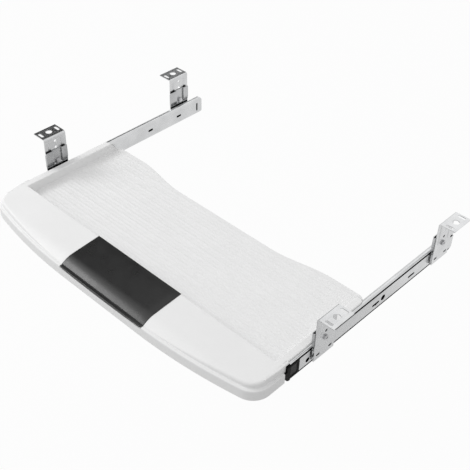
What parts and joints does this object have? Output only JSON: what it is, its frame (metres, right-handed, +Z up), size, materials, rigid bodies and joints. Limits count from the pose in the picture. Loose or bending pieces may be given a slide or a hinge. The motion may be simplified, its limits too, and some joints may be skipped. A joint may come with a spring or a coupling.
{
  "type": "keyboard tray",
  "caption": "White moulded under-desk keyboard tray with a black wrist pad, sliding out on ball-bearing side rails hung from slotted, height-adjustable desk brackets.",
  "frame": {"origin": "midway between the four round desk holes, on the top faces of the desk plates, which is the underside of the desk", "axes": "+X to the user's right, along the slides' spacing; +Y to the back of the desk; +Z up into the desk. The tray pulls out along -Y"},
  "size_m": [0.686, 0.5183, 0.095],
  "materials": {
    "tray_white": "fine satin moulding",
    "pad_black": "smooth soft-touch skin",
    "zinc_steel": "bright zinc plate",
    "bumper_black": "moulded, slightly glossy",
    "screw_steel": "zinc plate",
    "cage_steel": "rolled strip",
    "ball_steel": "polished"
  },
  "bodies": {
    "bracket_frame": {"left_fixed_rail": "zinc_steel", "left_rail_rivets": "screw_steel", "left_clamp_bolts": "screw_steel", "left_clamp_nuts": "screw_steel", "right_fixed_rail": "zinc_steel", "right_rail_rivets": "screw_steel", "right_clamp_bolts": "screw_steel", "right_clamp_nuts": "screw_steel", "front_left_desk_angle": "zinc_steel", "front_left_hanger": "zinc_steel", "front_right_desk_angle": "zinc_steel", "front_right_hanger": "zinc_steel", "rear_left_desk_angle": "zinc_steel", "rear_left_hanger": "zinc_steel", "rear_right_desk_angle": "zinc_steel", "rear_right_hanger": "zinc_steel"},
    "tray": {"tray_shell": "tray_white", "wrist_pad": "pad_black", "left_tray_channel": "zinc_steel", "left_front_bumper": "bumper_black", "left_channel_screws": "screw_steel", "right_tray_channel": "zinc_steel", "right_front_bumper": "bumper_black", "right_channel_screws": "screw_steel"},
    "left_ball_carriage": {"left_ball_cage": "cage_steel", "left_slide_balls": "ball_steel"},
    "right_ball_carriage": {"right_ball_cage": "cage_steel", "right_slide_balls": "ball_steel"}
  },
  "joints": [
    {"name": "tray_slide", "type": "slide", "parent": "bracket_frame", "child": "tray", "axis": [0, -1, 0], "range_m": [0, 0.27]},
    {"name": "left_cage_slide", "type": "slide", "parent": "bracket_frame", "child": "left_ball_carriage", "axis": [0, -1, 0], "range_m": [0, 0.135]},
    {"name": "right_cage_slide", "type": "slide", "parent": "bracket_frame", "child": "right_ball_carriage", "axis": [0, -1, 0], "range_m": [0, 0.135]}
  ],
  "couplings": [
    {"joint": "left_cage_slide", "follows": "tray_slide", "ratio": 0.5},
    {"joint": "right_cage_slide", "follows": "tray_slide", "ratio": 0.5}
  ]
}
